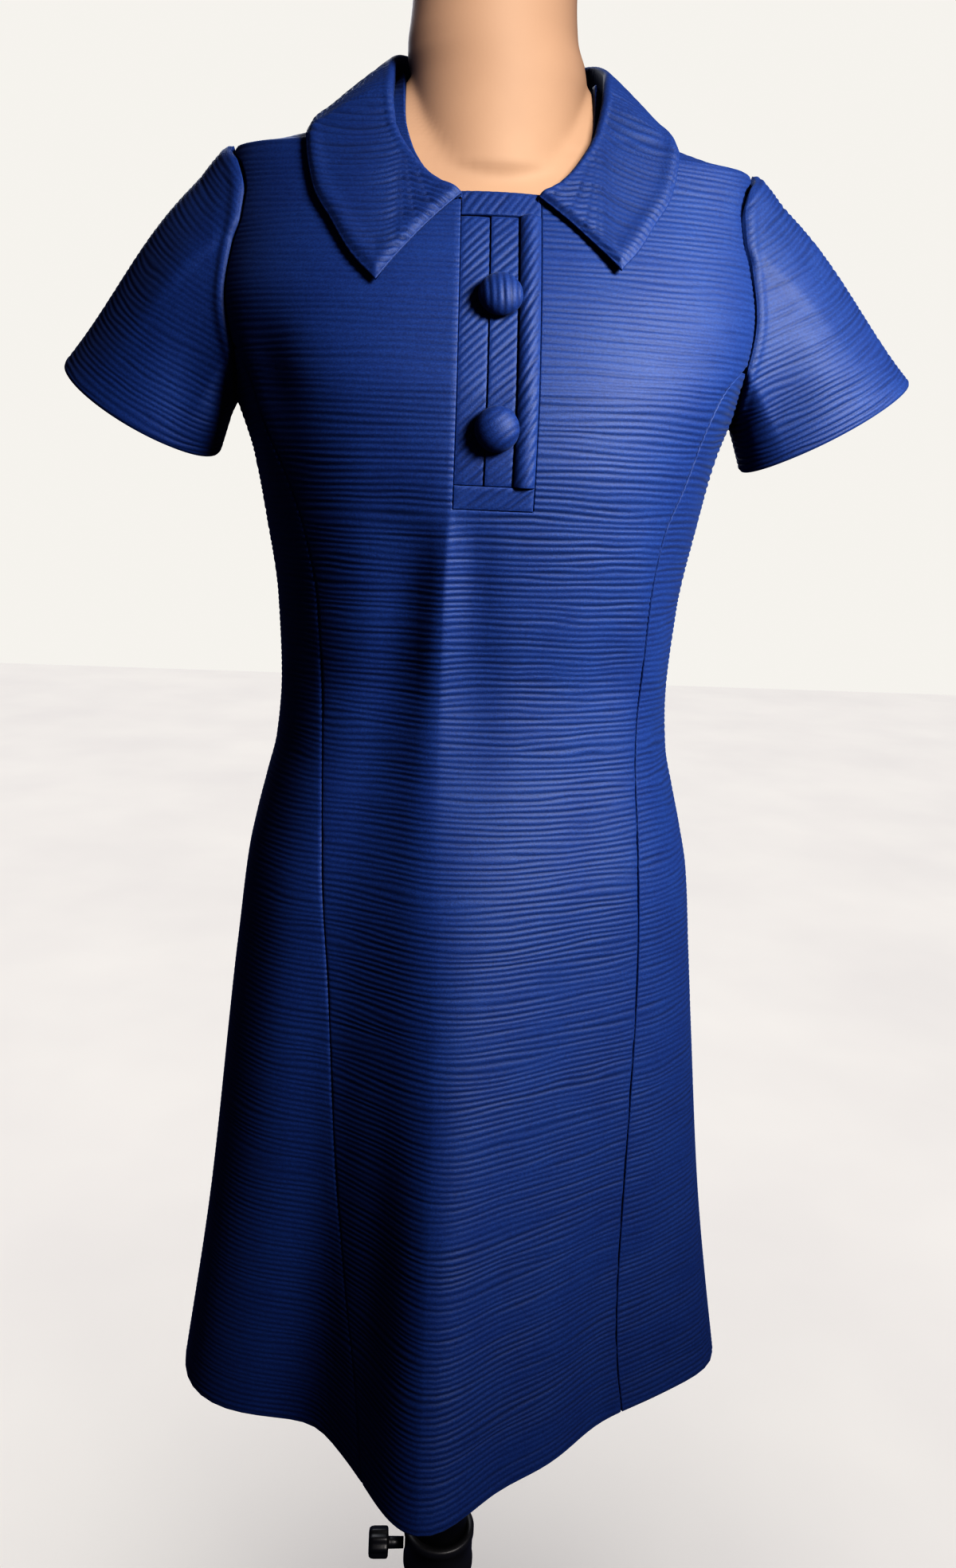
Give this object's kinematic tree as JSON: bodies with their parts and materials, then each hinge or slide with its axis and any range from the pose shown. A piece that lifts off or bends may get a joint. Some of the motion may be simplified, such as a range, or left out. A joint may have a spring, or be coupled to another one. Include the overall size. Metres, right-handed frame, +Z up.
{
  "type": "a-line dress on a dress form with a stand",
  "caption": "Short-sleeved a-line dress of ribbed navy double knit with a pointed collar and a buttoned placket, on a limbless dress form with a pole stand and a round foot.",
  "frame": {"origin": "the middle of the foot's underside, on the floor, on the axis of the pole", "axes": "+Z up, -Y the way the dress faces, +X the wearer's left"},
  "size_m": [0.598, 0.4008, 1.535],
  "materials": {
    "knit": "navy double knit with raised crosswise ribs, matt with a soft sheen on the crests",
    "form_cover": "smooth skin-toned shell with a satin sheen",
    "black_metal": "black powder coat, satin",
    "black_plastic": "black moulded plastic, matt"
  },
  "bodies": {
    "root": {"front_centre": "knit", "front_side_left": "knit", "front_side_right": "knit", "back": "knit", "sleeve_left": "knit", "sleeve_right": "knit", "collar": "knit", "placket_under": "knit", "placket_strip": "knit", "placket_edge": "knit", "placket_foot": "knit", "placket_band": "knit", "button_upper": "knit", "button_lower": "knit", "form": "form_cover", "pole": "black_metal", "foot": "black_metal", "clamp": "black_plastic", "knob": "black_plastic"}
  },
  "joints": []
}
